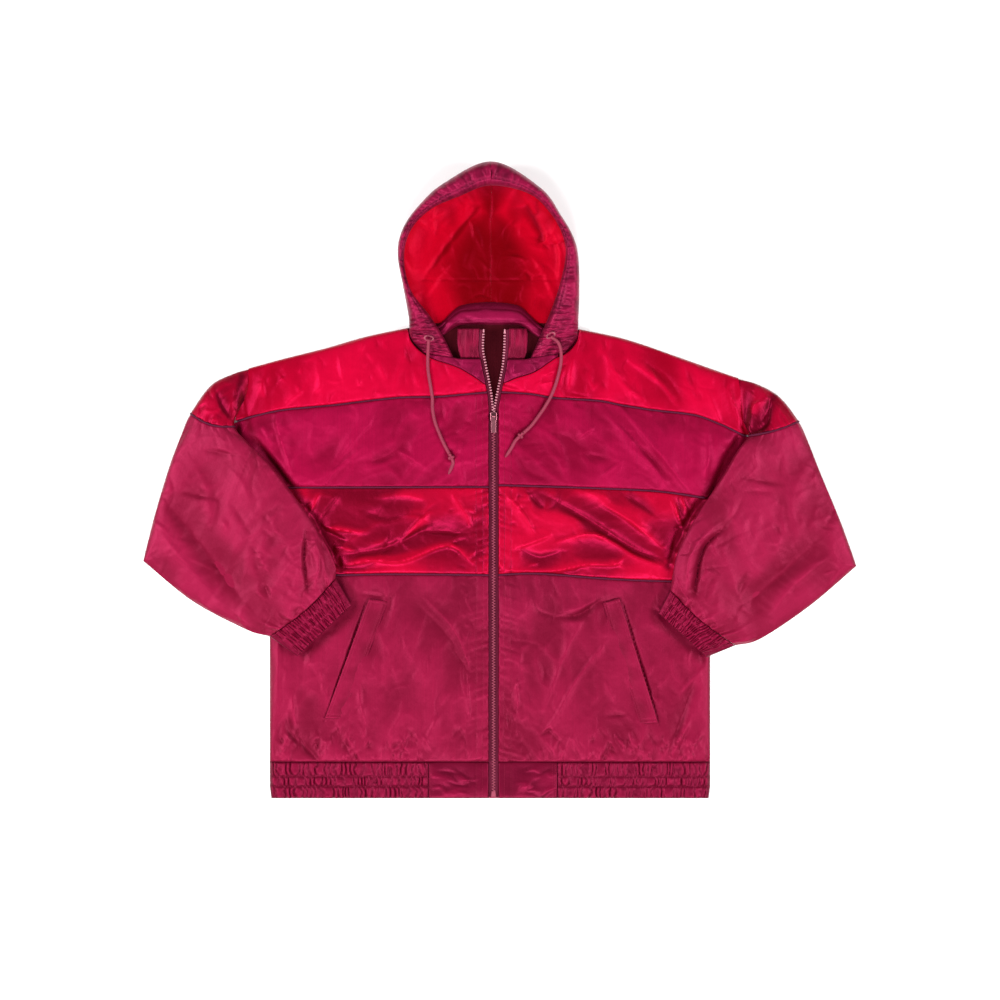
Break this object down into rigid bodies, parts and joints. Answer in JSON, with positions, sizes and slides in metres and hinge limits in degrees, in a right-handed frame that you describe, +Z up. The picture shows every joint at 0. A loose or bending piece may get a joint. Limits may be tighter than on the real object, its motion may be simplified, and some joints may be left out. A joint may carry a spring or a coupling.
{
  "type": "hooded padded jacket",
  "caption": "Hooded zip jacket in red and maroon blocks with light padding, laid flat with its sleeves folded in and its hood open.",
  "frame": {"origin": "centre of the bounding box at the underside, on the surface that the jacket lies on", "axes": "+Z up out of the front, +Y from the hem to the hood, +X to the right as seen from above"},
  "size_m": [0.9862, 0.889, 0.056],
  "materials": {
    "red_satin": "shiny woven satin shell, wrinkled",
    "maroon_cloth": "matt ribbed woven shell",
    "plum_piping": "corded piping tape",
    "zip_tape": "woven zip tape",
    "hood_lining_red": "smooth woven lining",
    "neck_lining_wine": "dark woven lining",
    "drawcord_pink": "braided round cord",
    "zip_metal": "cast zip metal"
  },
  "bodies": {
    "jacket": {"back_lining": "neck_lining_wine", "back_panel": "maroon_cloth", "collar_back": "maroon_cloth", "collar_front_left": "maroon_cloth", "collar_front_right": "maroon_cloth", "cord_knot_left": "drawcord_pink", "cord_knot_right": "drawcord_pink", "cord_tip_left": "drawcord_pink", "cord_tip_right": "drawcord_pink", "cuff_left": "maroon_cloth", "cuff_right": "maroon_cloth", "drawcord_left": "drawcord_pink", "drawcord_right": "drawcord_pink", "front_band_left": "red_satin", "front_band_right": "red_satin", "front_chest_left": "maroon_cloth", "front_chest_right": "maroon_cloth", "front_skirt_left": "maroon_cloth", "front_skirt_right": "maroon_cloth", "front_yoke_left": "red_satin", "front_yoke_right": "red_satin", "hood_lining_left": "hood_lining_red", "hood_lining_right": "hood_lining_red", "hood_rim_left": "maroon_cloth", "hood_rim_right": "maroon_cloth", "hood_shell_left": "maroon_cloth", "hood_shell_right": "maroon_cloth", "neck_band_left": "maroon_cloth", "neck_band_right": "maroon_cloth", "piping_band_left": "plum_piping", "piping_band_right": "plum_piping", "piping_chest_left": "plum_piping", "piping_chest_right": "plum_piping", "piping_sleeve_left": "plum_piping", "piping_sleeve_right": "plum_piping", "piping_yoke_left": "plum_piping", "piping_yoke_right": "plum_piping", "pocket_welt_left": "maroon_cloth", "pocket_welt_right": "maroon_cloth", "sleeve_cap_left": "red_satin", "sleeve_cap_right": "red_satin", "sleeve_left": "maroon_cloth", "sleeve_right": "maroon_cloth", "waistband_back": "maroon_cloth", "waistband_end_left": "maroon_cloth", "waistband_end_right": "maroon_cloth", "waistband_front_left": "maroon_cloth", "waistband_front_right": "maroon_cloth", "zip_chain_left": "zip_metal", "zip_chain_right": "zip_metal", "zip_slider": "zip_metal", "zip_tape_left": "zip_tape", "zip_tape_right": "zip_tape"},
    "pull": {"pull_tab": "zip_metal"}
  },
  "joints": [
    {"name": "pull_hinge", "type": "hinge", "parent": "jacket", "child": "pull", "pos_m": [-0.0087, 0.0895, 0.01716], "axis": [-1, 0, 0], "range_deg": [0, 165]}
  ]
}
